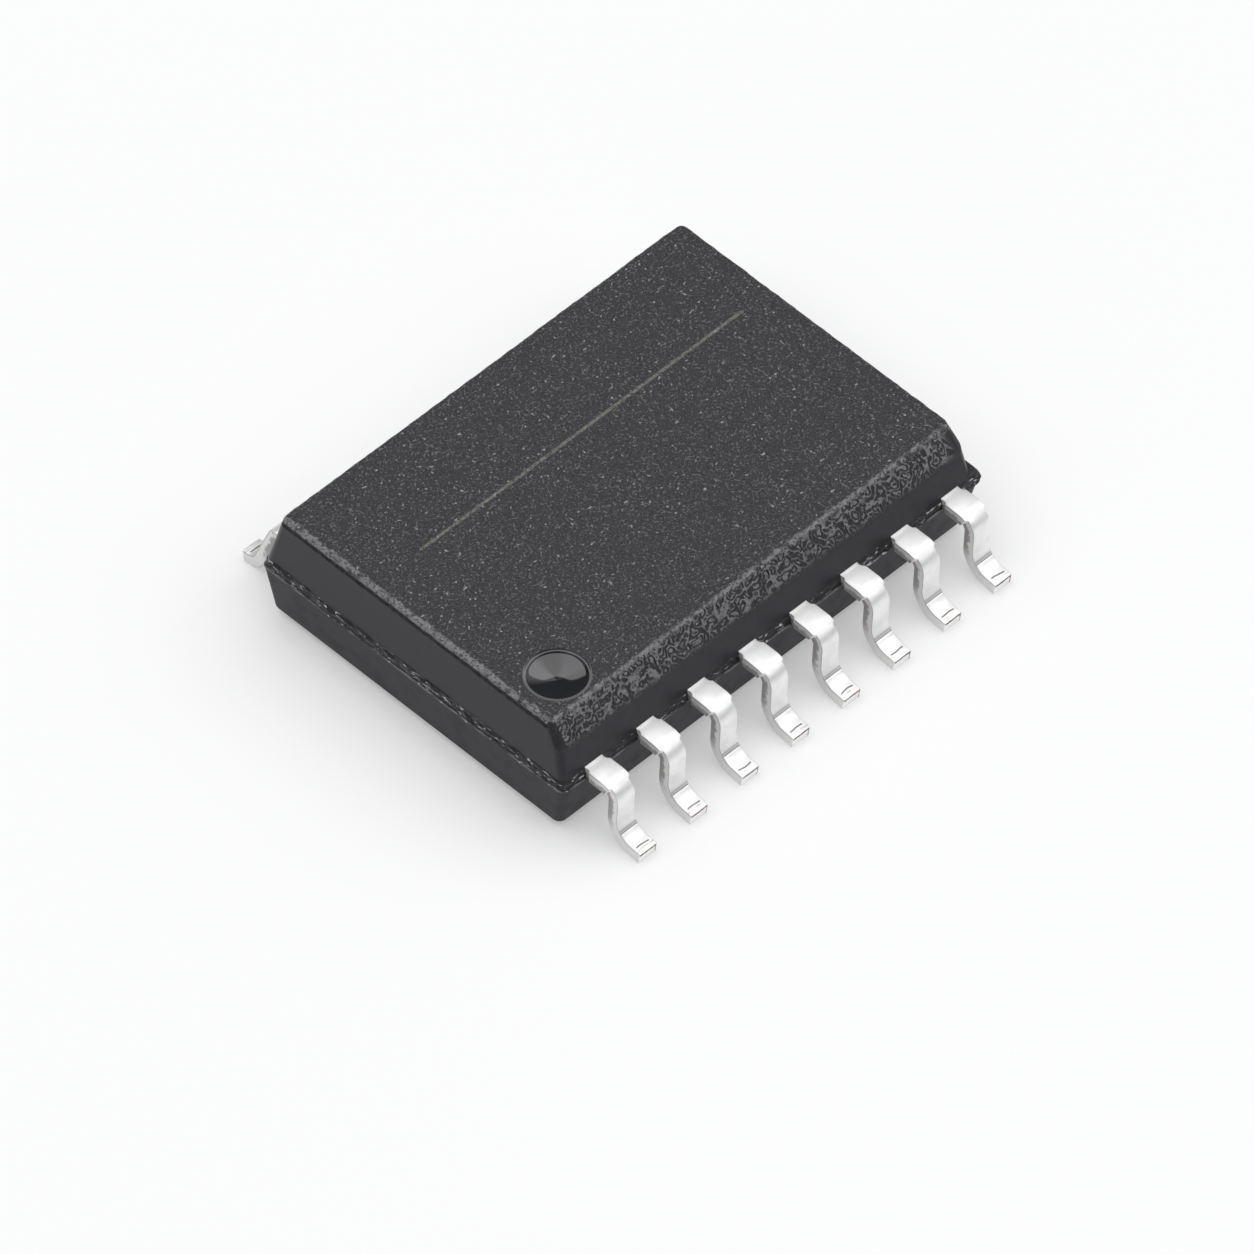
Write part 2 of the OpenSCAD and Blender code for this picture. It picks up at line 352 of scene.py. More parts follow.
def relief(tree, shader, height, depth):
    """Gives the shader a fine relief of a depth in metres."""
    bump = add_node(tree, "ShaderNodeBump", {"Height": height, "Distance": depth})
    tree.links.new(bump.outputs["Normal"], shader.inputs["Normal"])


def paint(tree, shader, share, first, second):
    """Colours the shader from one colour to another as share goes from 0 to 1."""
    tree.links.new(blend_colour(tree, share, first, second), shader.inputs["Base Color"])


def vary_roughness(tree, shader, share, start, end):
    """Takes the shader's roughness from start to end as share goes from 0 to 1."""
    limits = {"Value": share, "To Min": start, "To Max": end}
    rough = add_node(tree, "ShaderNodeMapRange", limits).outputs["Result"]
    tree.links.new(rough, shader.inputs["Roughness"])


def new_group(name, inputs, outputs):
    """An empty node group with float or vector inputs and float outputs."""
    group = bpy.data.node_groups.new(name, "ShaderNodeTree")
    for socket, kind in inputs.items():
        group.interface.new_socket(socket, in_out="INPUT", socket_type=kind)
    for socket in outputs:
        group.interface.new_socket(socket, in_out="OUTPUT", socket_type="NodeSocketFloat")
    entry = group.nodes.new("NodeGroupInput")
    leave = group.nodes.new("NodeGroupOutput")
    return group, entry.outputs, leave.inputs


def place_group(tree, group, inputs):
    """Places a node group in a material and gives its outputs."""
    return add_node(tree, "ShaderNodeGroup", inputs, node_tree=group).outputs


WEAR_INPUTS = {"Vector": "NodeSocketVector", "Patch": "NodeSocketFloat"}
FINE_GRAIN = 0.03 * MM
metal_wear, entry, leave = new_group("metal_wear", WEAR_INPUTS, ["Patches", "Grain"])
patch_scale = combine(metal_wear, "DIVIDE", 1.0, entry["Patch"])
patches = clouds(metal_wear, entry["Vector"], patch_scale, 3.0)
metal_wear.links.new(soft_step(metal_wear, patches, 0.38, 0.66), leave["Patches"])
metal_wear.links.new(grain(metal_wear, entry["Vector"], FINE_GRAIN), leave["Grain"])

TIN_BRIGHT = (0.93, 0.93, 0.925, 1)
TIN_DULL = (0.89, 0.89, 0.88, 1)
TIN_MARK_AND_SHADE = (0.22, 0.2, 0.19, 1)
TIN_SHADE = (0.55, 0.54, 0.53, 1)
MARK_REACH = 4.865 * MM
MARK_WIDTH = 0.022 * MM
MARK_HALF = 0.145 * MM
MARK_SWAY = 0.09 * MM
MARK_LOW = 0.16 * MM
MARK_HIGH = 0.36 * MM
MARK_FADE = 0.03 * MM
FAINT_REACH = 4.935 * MM
FAINT_SHARE = 0.35
# Painted shade: the dark line along the heel's crease, which is partly a pressed forming mark, and the
# darker band just above it.
CREASE_LINE = math.radians(2.5)
CREASE_SHADE_SHARE = 0.85
SHADE_TURN = math.radians(33)
SHADE_HALF = math.radians(5.5)
SHADE_SHARE = 0.7
LINE_CORE = 0.4


def across_lead(tree, x):
    """How far a place lies from the middle line of its lead, along the row."""
    steps = combine(tree, "FRACT", combine(tree, "DIVIDE", x, LEAD_PITCH))
    return sway(tree, steps, LEAD_PITCH)


def by_row(tree, far_row, name):
    """The near row's value of a bend, or the far row's where far_row is 1."""
    near = getattr(near_bends, name)
    step = times(tree, far_row, getattr(far_bends, name) - near)
    return combine(tree, "ADD", step, near)


def thin_line(tree, value, place, half):
    """1 on a line where value is place, and 0 from half away on both sides."""
    gap = combine(tree, "ABSOLUTE", combine(tree, "SUBTRACT", value, place))
    return soft_step(tree, gap, half, LINE_CORE * half)


tin, tree, shader, where = new_finish("matte_tin")
wear = place_group(tree, metal_wear, {"Vector": where, "Patch": 0.22 * MM})
parts = split(tree, where)
reach = combine(tree, "ABSOLUTE", parts["Y"])
across = combine(tree, "ABSOLUTE", across_lead(tree, parts["X"]))
marked = combine(tree, "ADD", reach, sway(tree, grain(tree, where, 0.3 * MM, 0.0), MARK_SWAY))
on_foot = soft_step(tree, parts["Z"], MARK_HIGH, MARK_HIGH - MARK_FADE)
on_top = soft_step(tree, parts["Z"], MARK_LOW, MARK_LOW + MARK_FADE)
mark_short = soft_step(tree, across, MARK_HALF * 1.15, MARK_HALF * 0.9)
mark = times(tree, thin_line(tree, marked, MARK_REACH, MARK_WIDTH), mark_short)
faint_short = soft_step(tree, grain(tree, where, 0.2 * MM, 1.0), 0.5, 0.6)
faint = times(tree, thin_line(tree, marked, FAINT_REACH, MARK_WIDTH), faint_short)
mark = combine(tree, "MAXIMUM", mark, times(tree, faint, FAINT_SHARE))
mark = times(tree, times(tree, mark, on_foot), on_top)
far_row = combine(tree, "GREATER_THAN", parts["Y"], 0.0)
arm_out = combine(tree, "SUBTRACT", by_row(tree, far_row, "heel_y"), reach)
arm_down = combine(tree, "SUBTRACT", by_row(tree, far_row, "heel_z"), parts["Z"])
heel_turn = combine(tree, "ARCTAN2", arm_down, arm_out)
out_square = combine(tree, "POWER", arm_out, 2.0)
down_square = combine(tree, "POWER", arm_down, 2.0)
arm = combine(tree, "SQRT", combine(tree, "ADD", out_square, down_square))
arm_share = combine(tree, "DIVIDE", arm, by_row(tree, far_row, "heel_radius"))
inside_heel = soft_step(tree, arm_share, 1.3, 1.2)
# The crease line and the band above it are painted shade inside the heel bend; the tool marks on the foot
# are real.
crease = times(tree, thin_line(tree, heel_turn, CREASE_TURN, CREASE_LINE), inside_heel)
shade = times(tree, thin_line(tree, heel_turn, SHADE_TURN, SHADE_HALF), inside_heel)
tone = blend_colour(tree, wear["Patches"], TIN_BRIGHT, TIN_DULL)
tone = blend_colour(tree, times(tree, shade, SHADE_SHARE), tone, TIN_SHADE)
dark_lines = combine(tree, "MAXIMUM", mark, times(tree, crease, CREASE_SHADE_SHARE))
paint(tree, shader, dark_lines, tone, TIN_MARK_AND_SHADE)
vary_roughness(tree, shader, wear["Patches"], 0.45, 0.55)
shader.inputs["Metallic"].default_value = 0.85
relief(tree, shader, wear["Grain"], 0.0015 * MM)

SHEAR_PALE = (0.85, 0.84, 0.83, 1)
SHEAR_DARK = (0.42, 0.4, 0.39, 1)
SHEAR_SWAY = 0.25
EDGE_SHADE_SHARE = 0.8
TORN_LOW = 0.35 * MM
TORN_HIGH = 0.8 * MM
sheared, tree, shader, where = new_finish("sheared_edge")
wear = place_group(tree, metal_wear, {"Vector": where, "Patch": 0.12 * MM})
depth = add_node(tree, "ShaderNodeAttribute", attribute_name="upper_face").outputs["Fac"]
torn_depth = combine(tree, "ADD", depth, sway(tree, wear["Patches"], SHEAR_SWAY))
torn_back = soft_step(tree, torn_depth, 0.62, 0.35)
height = split(tree, where)["Z"]
torn_back = times(tree, torn_back, soft_step(tree, height, TORN_LOW, TORN_HIGH))
# Painted shade: thin dark lines along the sheared face's upper and lower edges. The darker torn zone toward
# the face's lower side is real.
upper_edge_shade = soft_step(tree, depth, 0.84, 0.95)
lower_edge_shade = soft_step(tree, depth, 0.12, 0.03)
edge_shade = combine(tree, "MAXIMUM", upper_edge_shade, lower_edge_shade)
# torn holds the real torn zone together with the painted edge shade.
torn = combine(tree, "MAXIMUM", torn_back, times(tree, edge_shade, EDGE_SHADE_SHARE))
paint(tree, shader, torn, SHEAR_PALE, SHEAR_DARK)
vary_roughness(tree, shader, wear["Grain"], 0.45, 0.65)
shader.inputs["Metallic"].default_value = 0.5
relief(tree, shader, wear["Grain"], 0.002 * MM)

COPPER = (0.17, 0.09, 0.06, 1)
COPPER_HEIGHT = 0.215 * MM
COPPER_HALF = 0.034 * MM
COPPER_ACROSS = 0.2 * MM
COPPER_SMEAR = 0.016 * MM
cropped, tree, shader, where = new_finish("cropped_toe")
wear = place_group(tree, metal_wear, {"Vector": where, "Patch": 0.08 * MM})
parts = split(tree, where)
smear = sway(tree, wear["Patches"], COPPER_SMEAR)
along_top = thin_line(tree, combine(tree, "ADD", parts["Z"], smear), COPPER_HEIGHT, COPPER_HALF)
side_place = combine(tree, "ADD", across_lead(tree, parts["X"]), smear)
down_side = thin_line(tree, side_place, COPPER_ACROSS, COPPER_HALF)
paint(tree, shader, combine(tree, "MAXIMUM", along_top, down_side), TIN_BRIGHT, COPPER)
vary_roughness(tree, shader, wear["Grain"], 0.3, 0.5)
shader.inputs["Metallic"].default_value = 1.0
relief(tree, shader, wear["Grain"], 0.003 * MM)

lead_finishes = (tin, sheared, cropped)
FRAME_LEADS = {2, 7, 10, 15}
for number in range(1, 2 * LEADS_PER_ROW + 1):
    if number in FRAME_LEADS:
        continue
    x, side = lead_place(number)
    bm = sheet_blank(x - HEAD_HALF, x + HEAD_HALF, side, HEAD_START, HEAD_END)
    form_lead(bm, neck_face(bm, x, side), x, side)
    piece = finish_stamping(bm, f"formed_lead_{number}", lead_finishes)
    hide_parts(f"lead_{number}")

# Paddle frames
# The copper paddles that carry the two chips, one for each side of the isolation gap. Each is blanked from
# the same sheet in one piece with the second and seventh lead of its row, which hold it in the mould.
PADDLE_HALF = 4.445 * MM
PADDLE_INNER = 1.0 * MM
PADDLE_OUTER = 2.85 * MM
for name, node, numbers in (
    ("primary_stamping", "primary_frame", (2, 7)),
    ("secondary_stamping", "secondary_frame", (10, 15)),
):
    bm = sheet_blank(-PADDLE_HALF, PADDLE_HALF, lead_place(numbers[0])[1], PADDLE_INNER, PADDLE_OUTER)
    for number in numbers:
        x, side = lead_place(number)
        form_lead(bm, neck_face(bm, x, side), x, side)
    piece = finish_stamping(bm, name, lead_finishes)
    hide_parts(node)

# Dies
# Two silicon chips glued on the paddles: the primary bridge driver and the secondary rectifier.
# A sawn chip is dark mirror grey with a fine grid of metal tracks, and the resin hides both.
SILICON = (0.05, 0.055, 0.08, 1)
TRACKS = (0.35, 0.32, 0.28, 1)
TRACK_GRID = 0.2 * MM
silicon, tree, shader, where = new_finish("chip_silicon")
grid_inputs = {"Vector": where, "Scale": 1 / TRACK_GRID}
grid = add_node(tree, "ShaderNodeTexVoronoi", grid_inputs, distance="CHEBYCHEV")
tracks = soft_step(tree, grid.outputs["Distance"], 0.42, 0.5)
paint(tree, shader, tracks, SILICON, TRACKS)
vary_roughness(tree, shader, tracks, 0.12, 0.3)

# Transformer
# A small fibreglass laminate with the two windings bridges the paddles, and two pressed ferrite plates
# close the core above and below it. Green solder mask on the laminate, dull sintered grey on the ferrite.
MASK_GREEN = (0.02, 0.12, 0.05, 1)
WEAVE_GREEN = (0.05, 0.2, 0.09, 1)
WEAVE_SIZE = 0.6 * MM
WEAVE_SWAY = 0.4
laminate, tree, shader, where = new_finish("winding_laminate")
turned = add_node(tree, "ShaderNodeMapping", {"Vector": where, "Rotation": (0, 0, math.radians(90))})
threads = []
for thread_place in (where, turned.outputs[0]):
    thread_inputs = {"Vector": thread_place, "Scale": 1 / WEAVE_SIZE, "Distortion": WEAVE_SWAY}
    threads.append(add_node(tree, "ShaderNodeTexWave", thread_inputs).outputs["Fac"])
weave = times(tree, *threads)
paint(tree, shader, weave, MASK_GREEN, WEAVE_GREEN)
shader.inputs["Roughness"].default_value = 0.35
relief(tree, shader, weave, 0.004 * MM)

FERRITE_DARK = (0.025, 0.024, 0.025, 1)
FERRITE_PALE = (0.07, 0.066, 0.064, 1)
ferrite, tree, shader, where = new_finish("sintered_ferrite")
sinter = grain(tree, where, 0.06 * MM, 4.0)
paint(tree, shader, sinter, FERRITE_DARK, FERRITE_PALE)
shader.inputs["Roughness"].default_value = 0.7
relief(tree, shader, sinter, 0.006 * MM)

# Bond wires
# Gold wires welded from the chips to the lead fingers and from the chips to the laminate.
# Drawn wire is bright, with faint die lines along it.
GOLD_BRIGHT = (0.9, 0.62, 0.22, 1)
GOLD_DULL = (0.72, 0.47, 0.16, 1)
gold, tree, shader, where = new_finish("drawn_gold")
wear = place_group(tree, metal_wear, {"Vector": where, "Patch": 0.1 * MM})
paint(tree, shader, wear["Patches"], GOLD_BRIGHT, GOLD_DULL)
shader.inputs["Metallic"].default_value = 1.0
shader.inputs["Roughness"].default_value = 0.25
relief(tree, shader, wear["Grain"], 0.001 * MM)

inner_finishes = {
    "primary_die": silicon,
    "secondary_die": silicon,
    "transformer_laminate": laminate,
    "upper_ferrite": ferrite,
    "lower_ferrite": ferrite,
    "primary_bond_wires": gold,
    "secondary_bond_wires": gold,
    "coil_bond_wires": gold,
}
for node, finish in inner_finishes.items():
    for material_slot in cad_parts[node].material_slots:
        material_slot.material = finish

# Moulded body
# One block of black epoxy compound, moulded in two halves round the lead frame. The walls lean for release,
# thin flash stays at the parting plane, one long top edge is bevelled, and a polished pit marks lead 1.
PARTING_HALF = Vector((5.25, 3.75)) * MM
CORNER_RADIUS = 0.15 * MM
CORNER_STEPS = 8
RING_STEP = 0.03 * MM
BODY_BOTTOM = 0.15 * MM
PARTING = 1.25 * MM
BODY_TOP = 2.5 * MM
LOWER_LEAN = math.tan(math.radians(7))
UPPER_LEAN = math.tan(math.radians(11))
UPPER_INSET = 0.06 * MM
BOTTOM_ROUND = 0.07 * MM
TOP_ROUND = 0.07 * MM
ROUND_STEPS = 6
LONG_EDGE = 1 * MM
LUMP_FLATNESS = 4
FINE_LUMPS = 0.6
FINE_LUMP_RATIO = 2.3
LUMP_LIFT = 0.3


def outward(vert, half):
    """The level direction straight out of the body's outline at a point of it."""
    reach = half - Vector((CORNER_RADIUS, CORNER_RADIUS))
    inner = Vector((max(-reach.x, min(reach.x, vert.co.x)), max(-reach.y, min(reach.y, vert.co.y))))
    out = vert.co.xy - inner
    return Vector((out.x, out.y, 0)).normalized()


def lift(bm, cap, outline, height, inset):
    """Raises the outline's cap to a height and an inset from the parting plane's outline."""
    cap = carry_on(bm, cap)
    half = PARTING_HALF - Vector((inset, inset))
    bmesh.ops.scale(bm, vec=(half.x / outline.x, half.y / outline.y, 1), verts=cap.verts[:])
    for vert in cap.verts:
        vert.co.z = height
    return cap, half


def wall_inset(height):
    """How far the plain upper wall lies inside the parting plane's outline at a height."""
    return UPPER_INSET + (height - SHEET_TOP) * UPPER_LEAN


def roughen(verts, half, depth, fineness):
    """Moves the points of one ring in and out, as torn resin does, in lumps that lie along the wall."""
    for vert in verts:
        place = vert.co / MM
        place.z *= LUMP_FLATNESS
        fine = noise.noise(place * FINE_LUMP_RATIO * fineness + Vector((7, 3, 1)))
        lumps = noise.noise(place * fineness) + FINE_LUMPS * fine
        vert.co += outward(vert, half) * depth * lumps
        vert.co.z += LUMP_LIFT * depth * noise.noise(place * fineness + Vector((2, 9, 4)))


bm = bmesh.new()
crest = bm.verts.layers.float.new("crest")
lower_inset = (PARTING - BODY_BOTTOM) * LOWER_LEAN
outline = PARTING_HALF - Vector((lower_inset + BOTTOM_ROUND, lower_inset + BOTTOM_ROUND))
bmesh.ops.create_grid(bm, x_segments=1, y_segments=1, size=1)
for vert in bm.verts:
    vert.co = (math.copysign(outline.x, vert.co.x), math.copysign(outline.y, vert.co.y), BODY_BOTTOM)
bmesh.ops.bevel(
    bm,
    geom=bm.verts[:],
    offset=CORNER_RADIUS,
    affect="VERTICES",
    segments=CORNER_STEPS,
    profile=0.5,
    material=-1,
)
for edge in [e for e in bm.edges if e.calc_length() > LONG_EDGE]:
    bmesh.ops.bisect_edges(bm, edges=[edge], cuts=round(edge.calc_length() / RING_STEP) - 1)
bm.faces.ensure_lookup_table()
cap = bm.faces[0]
for step in range(1, ROUND_STEPS + 1):
    turn = math.radians(90) * step / ROUND_STEPS
    height = BODY_BOTTOM + BOTTOM_ROUND * (1 - math.cos(turn))
    inset = (PARTING - height) * LOWER_LEAN + BOTTOM_ROUND * (1 - math.sin(turn))
    cap, outline = lift(bm, cap, outline, height, inset)
cap, outline = lift(bm, cap, outline, PARTING, 0.0)
FLASH_TOP = 1.495 * MM
FLASH_RINGS = 13
FLASH_LIP = 0.034 * MM
FLASH_LUMPS = 0.055 * MM
FLASH_FINENESS = 3.2
LUMPS_AT_LIP = 0.15
LUMPS_GROWTH = 2
LIP_TOP = 1.26 * MM
LIP_RAGGED = 0.008 * MM
cap, outline = lift(bm, cap, outline, LIP_TOP, -LIP_RAGGED)
torn_rings = [(cap.verts[:], outline, LIP_RAGGED, 2 * FLASH_FINENESS)]
for step in range(1, FLASH_RINGS):
    share = step / FLASH_RINGS
    inset = FLASH_LIP * (1 - share) + UPPER_INSET * share ** 3
    growth = LUMPS_AT_LIP + LUMPS_GROWTH * (share - 1 / FLASH_RINGS)
    depth = FLASH_LUMPS * min(1.0, growth) * (1 - share ** 3)
    cap, outline = lift(bm, cap, outline, LIP_TOP + share * (FLASH_TOP - LIP_TOP), inset)
    torn_rings.append((cap.verts[:], outline, depth, FLASH_FINENESS))
flash_rings = [verts for verts, *_ in torn_rings]
WALL_START = 1.51 * MM
SWELL_TOP = 2.0 * MM
for height in (FLASH_TOP, WALL_START, SWELL_TOP):
    cap, outline = lift(bm, cap, outline, height, wall_inset(height))

# A torn groove lies under the top edge of the lead 1 end, and its dark finish is painted shade: height and
# depth of each of its rings.
groove_steps = (
    (2.35, 0.0),
    (2.362, 0.014),
    (2.38, 0.03),
    (2.405, 0.03),
    (2.42, 0.02),
)
groove_rings = []
for height, sunk in groove_steps:
    cap, outline = lift(bm, cap, outline, height * MM, wall_inset(height * MM))
    groove_rings.append((cap.verts[:], sunk * MM))
EDGE_CHIPS = 0.012 * MM
EDGE_FINENESS = 5.0
for step in range(ROUND_STEPS + 1):
    turn = math.radians(90) * step / ROUND_STEPS
    height = BODY_TOP - TOP_ROUND * (1 - math.sin(turn))
    cap, outline = lift(bm, cap, outline, height, wall_inset(height) + TOP_ROUND * (1 - math.cos(turn)))
    if 0 < step < ROUND_STEPS:
        torn_rings.append((cap.verts[:], outline, EDGE_CHIPS, EDGE_FINENESS))
for verts, half, depth, fineness in torn_rings:
    roughen(verts, half, depth, fineness)
END_WALL = -4.8 * MM
GROOVE_RAGGED = 0.03 * MM
RAGGED_COARSE = 9
RAGGED_FINE = 21
RAGGED_SHARE = 0.6
for verts, sunk in groove_rings:
    for vert in verts:
        if vert.co.x > END_WALL:
            continue
        place = vert.co / MM
        coarse = noise.noise(Vector((0, place.y * RAGGED_COARSE, 5)))
        ragged = coarse + noise.noise(Vector((4, place.y * RAGGED_FINE, 8)))
        vert.co.x += sunk * (1 + RAGGED_SHARE * ragged)
        vert.co.z += GROOVE_RAGGED * ragged * min(1.0, sunk / GROOVE_RAGGED)

# The widest flash stands past lead 8 as a fin of two lobes: place along the row, reach and height of each.
fin_outline = (
    (4.7, 0.0, 1.31),
    (4.8, 0.06, 1.31),
    (4.97, 0.0, 1.35),
    (5.17, 0.12, 1.4),
    (5.3, 0.0, 1.4),
)
FIN_HALF_HEIGHT = 0.1
FIN_WALL = -3.4
fin_stretches = list(zip(fin_outline, fin_outline[1:]))
for verts in flash_rings:
    for vert in verts:
        place = vert.co / MM
        if place.y > FIN_WALL:
            continue
        for (start_x, start_reach, start_z), (end_x, end_reach, end_z) in fin_stretches:
            if start_x <= place.x < end_x:
                share = (place.x - start_x) / (end_x - start_x)
                thin = max(0.0, 1 - abs(place.z - start_z - share * (end_z - start_z)) / FIN_HALF_HEIGHT)
                vert.co.y -= (start_reach + share * (end_reach - start_reach)) * thin * MM

# The lead 1 wall stands out a little past its plain lean, most of all at the parting plane.
SWELL = 0.1 * MM
SWELL_WALL = -3.45 * MM
for vert in bm.verts:
    if vert.co.y < SWELL_WALL:
        rise = (vert.co.z - BODY_BOTTOM) / (PARTING - BODY_BOTTOM)
        fall = (SWELL_TOP - vert.co.z) / (SWELL_TOP - SHEET_TOP)
        vert.co.y -= SWELL * max(0.0, min(1.0, rise, fall))

# The corner past lead 8 is rounder than the other three, above and below the fin.
CORNER_PULL = 0.15 * MM
PULL_BELOW = 0.6
PULL_START_X = 4.5
PULL_WIDTH_X = 0.6
PULL_START_Y = -3.2
PULL_WIDTH_Y = 0.4
PULL_TOP = 2.35
PULL_FALL = 0.84


def ease(share):
    """0 below 0, 1 above 1 and smooth between."""
    share = max(0.0, min(1.0, share))
    return share * share * (3 - 2 * share)


for vert in bm.verts:
    if not PARTING < vert.co.z < SHEET_TOP:
        place = vert.co / MM
        pull = CORNER_PULL if vert.co.z > SHEET_TOP else PULL_BELOW * CORNER_PULL
        level = max(0.0, min(1.0, (PULL_TOP - place.z) / PULL_FALL))
        along = ease((place.x - PULL_START_X) / PULL_WIDTH_X)
        out = ease((PULL_START_Y - place.y) / PULL_WIDTH_Y)
        vert.co.x -= pull * along * out * level

BEVEL_TOP_Y = -3.246 * MM
BEVEL_FOOT_Y = -3.593 * MM
BEVEL_FOOT_Z = 2.0 * MM


def shave(bm, point, normal):
    """Cuts flat everything on the outer side of a plane, and closes the cut."""
    everything = bm.verts[:] + bm.edges[:] + bm.faces[:]
    cut = bmesh.ops.bisect_plane(
        bm, geom=everything, dist=SAME_POINT, plane_co=point, plane_no=normal, clear_outer=True
    )
    rim = [part for part in cut["geom_cut"] if isinstance(part, bmesh.types.BMEdge)]
    return bmesh.ops.contextual_create(bm, geom=rim)["faces"]


slope = Vector((0, BEVEL_FOOT_Y - BEVEL_TOP_Y, BEVEL_FOOT_Z - BODY_TOP)).normalized()
bevel_out = Vector((0, slope.z, -slope.y))
shave(bm, (0, BEVEL_TOP_Y, BODY_TOP), bevel_out)
TOP_EDGE_RADIUS = 0.12 * MM
FOOT_EDGE_RADIUS = 0.4 * MM
END_EDGE_RADII = {-1: 0.12 * MM, 1: 0.2 * MM}
ROUND_CUTS = 5


def round_off(bm, point, first_out, second_out, radius):
    """Rounds the edge where two planes meet, with a fan of flat cuts round one centre line."""
    centre = point - (first_out + second_out) * radius / (1 + first_out.dot(second_out))
    for step in range(1, ROUND_CUTS + 1):
        out = first_out.slerp(second_out, step / (ROUND_CUTS + 1))
        shave(bm, centre + out * radius, out)


swell_lean = UPPER_LEAN + SWELL / (SWELL_TOP - SHEET_TOP)
wall_out = Vector((0, -1, swell_lean)).normalized()
round_off(bm, Vector((0, BEVEL_TOP_Y, BODY_TOP)), Vector((0, 0, 1)), bevel_out, TOP_EDGE_RADIUS)
round_off(bm, Vector((0, BEVEL_FOOT_Y, BEVEL_FOOT_Z)), bevel_out, wall_out, FOOT_EDGE_RADIUS)
end_top = PARTING_HALF.x - wall_inset(BODY_TOP)
for end, radius in END_EDGE_RADII.items():
    end_out = Vector((end, 0, UPPER_LEAN)).normalized()
    round_off(bm, Vector((end * end_top, BEVEL_TOP_Y, BODY_TOP)), bevel_out, end_out, radius)

# Winding ridges cover the bevel. They are modelled, and each point keeps how near a crest it is; the finish
# paints the crests paler as highlight and the valleys darker as shade.
RELIEF_ENDS = (-4.87 * MM, 4.7 * MM)
RELIEF_STEP = 0.0125 * MM
RELIEF_DEPTH = 0.015 * MM
RELIEF_FINENESS = 6.0
RELIEF_WAVES = 1.8
FINE_WAVES = 0.22
FINE_WAVE_RATIO = 3.1
SLOPE_STRETCH = 1.217
END_FADE = 0.08
RELIEF_FOOT = 1.96
FOOT_FADE = 0.1
RELIEF_TOP = 2.494
TOP_FADE = 0.05
BEVEL_LOW = 1.9 * MM
BEVEL_NEAR = -3 * MM
ALONG_ROW = 0.05
SLANT_OUT = 0.3
SLANT_UP = 0.22
MIDDLE_HALF = 0.1 * MM
TALL_EDGE = 0.3 * MM


def bevel_strips(bm):
    """The long faces of the bevel and of its two rounded edges."""
    bm.normal_update()
    strips = []
    for face in bm.faces:
        middle = face.calc_center_median()
        across_row = abs(face.normal.x) < ALONG_ROW and abs(face.normal.y) > SLANT_OUT
        if across_row and abs(face.normal.z) > SLANT_UP and middle.z > BEVEL_LOW and middle.y < BEVEL_NEAR:
            strips.append(face)
    return strips


def relief_faces(bm):
    """The four-sided faces of the bevel between the ends of its ridges."""
    low, high = RELIEF_ENDS
    return [f for f in bevel_strips(bm) if len(f.verts) == 4 and low < f.calc_center_median().x < high]


for end in RELIEF_ENDS:
    strips = bevel_strips(bm)
    strip_edges = list({edge for face in strips for edge in face.edges})
    strip_verts = list({vert for face in strips for vert in face.verts})
    cut_across(bm, strips + strip_edges + strip_verts, end)
strips = [f for f in relief_faces(bm) if abs(f.calc_center_median().x) < MIDDLE_HALF]
long_edges = list({edge for face in strips for edge in face.edges if edge.calc_length() > LONG_EDGE})
long_cuts = round((RELIEF_ENDS[1] - RELIEF_ENDS[0]) / RELIEF_STEP) - 1
bmesh.ops.subdivide_edges(bm, edges=long_edges, cuts=long_cuts)
tall_edges = {edge for face in relief_faces(bm) for edge in face.edges if edge.calc_length() > TALL_EDGE}
tall_cuts = round(max(e.calc_length() for e in tall_edges) / RELIEF_STEP) - 1
bmesh.ops.subdivide_edges(bm, edges=list(tall_edges), cuts=tall_cuts)
for vert in {vert for face in relief_faces(bm) for vert in face.verts}:
    place = vert.co / MM
    flat_place = Vector((place.x, place.z * SLOPE_STRETCH, 0)) * RELIEF_FINENESS
    fine = noise.noise(flat_place * FINE_WAVE_RATIO + Vector((31, 17, 5)))
    swell = noise.noise(flat_place) + FINE_WAVES * fine
    vert[crest] = 0.5 + 0.5 * math.cos(2 * math.pi * RELIEF_WAVES * swell)
    end_gap = min(vert.co.x - RELIEF_ENDS[0], RELIEF_ENDS[1] - vert.co.x) / MM
    foot_gap = place.z - RELIEF_FOOT
    top_gap = RELIEF_TOP - place.z
    fade = min(1.0, end_gap / END_FADE, foot_gap / FOOT_FADE, top_gap / TOP_FADE)
    vert.co += bevel_out * RELIEF_DEPTH * (vert[crest] - 0.5) * max(0.0, fade)

# A polished pin that leaned a little leaves the pit. Its rim, inwards: radius and height of each ring.
DIMPLE = Vector((-4.1, -2.55)) * MM
DIMPLE_STEPS = 96
DIMPLE_RADIUS = 0.528 * MM
DIMPLE_DEPTH = 0.14 * MM
RIM_START = 0.62 * MM
rim_steps = (
    (0.613, 0.0),
    (0.6, 0.001),
    (0.585, 0.004),
    (0.571, 0.006),
    (0.559, 0.004),
    (0.551, 0.0),
    (0.543, -0.01),
    (0.536, -0.024),
)
RIM_FALL = 0.034 * MM
BOWL_STEPS = 16
PIN_LEAN = 0.12
PIN_TIP = 0.18 * MM
TOP_SKIN = 0.001 * MM
level_faces = [f for f in bm.faces if f.calc_center_median().z > BODY_TOP - TOP_SKIN]
top_face = max(level_faces, key=lambda f: f.calc_area())
top_rim = top_face.edges[:]
bmesh.ops.delete(bm, geom=[top_face], context="FACES_ONLY")
ring = bmesh.ops.create_circle(bm, cap_ends=False, radius=RIM_START, segments=DIMPLE_STEPS)["verts"]
bmesh.ops.translate(bm, vec=(DIMPLE.x, DIMPLE.y, BODY_TOP), verts=ring)
